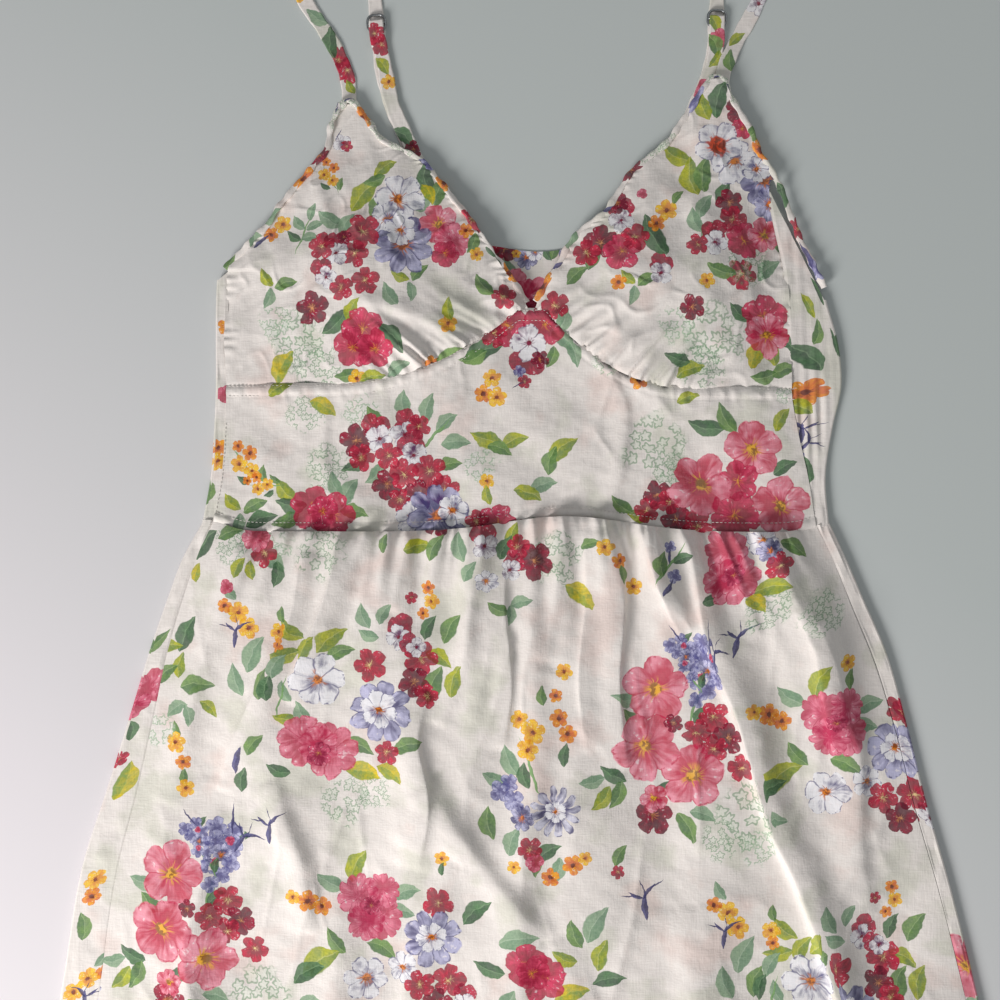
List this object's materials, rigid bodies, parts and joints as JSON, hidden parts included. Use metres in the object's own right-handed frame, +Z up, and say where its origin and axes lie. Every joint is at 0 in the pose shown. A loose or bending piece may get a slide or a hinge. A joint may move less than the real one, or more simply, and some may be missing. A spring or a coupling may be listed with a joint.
{
  "type": "sundress with shoulder straps, laid flat",
  "caption": "Floral cotton sundress lying flat: gathered cups on a pointed midriff band, gathered A-line skirt, and narrow shoulder straps that double back through sliders.",
  "frame": {"origin": "centre of the laid-out dress's bounding box, on the surface that it lies on", "axes": "+Y from the hem towards the shoulder straps, +X to the right as one looks at the front, +Z up, out of the front of the dress"},
  "size_m": [0.606, 0.8898, 0.0174],
  "materials": {
    "cotton_voile": "matt off-white cotton voile printed with loose watercolour flowers, leaves and small ink birds",
    "slider_metal": "satin nickel"
  },
  "bodies": {
    "root": {"skirt_front": "cotton_voile", "skirt_back": "cotton_voile", "midriff_front": "cotton_voile", "bodice_back": "cotton_voile", "cup_left": "cotton_voile", "cup_right": "cotton_voile", "neck_binding_left": "cotton_voile", "neck_binding_right": "cotton_voile", "armhole_binding_left": "cotton_voile", "armhole_binding_right": "cotton_voile", "strap_left": "cotton_voile", "strap_right": "cotton_voile", "strap_return_left": "cotton_voile", "strap_return_right": "cotton_voile", "slider_left": "slider_metal", "slider_right": "slider_metal"}
  },
  "joints": []
}
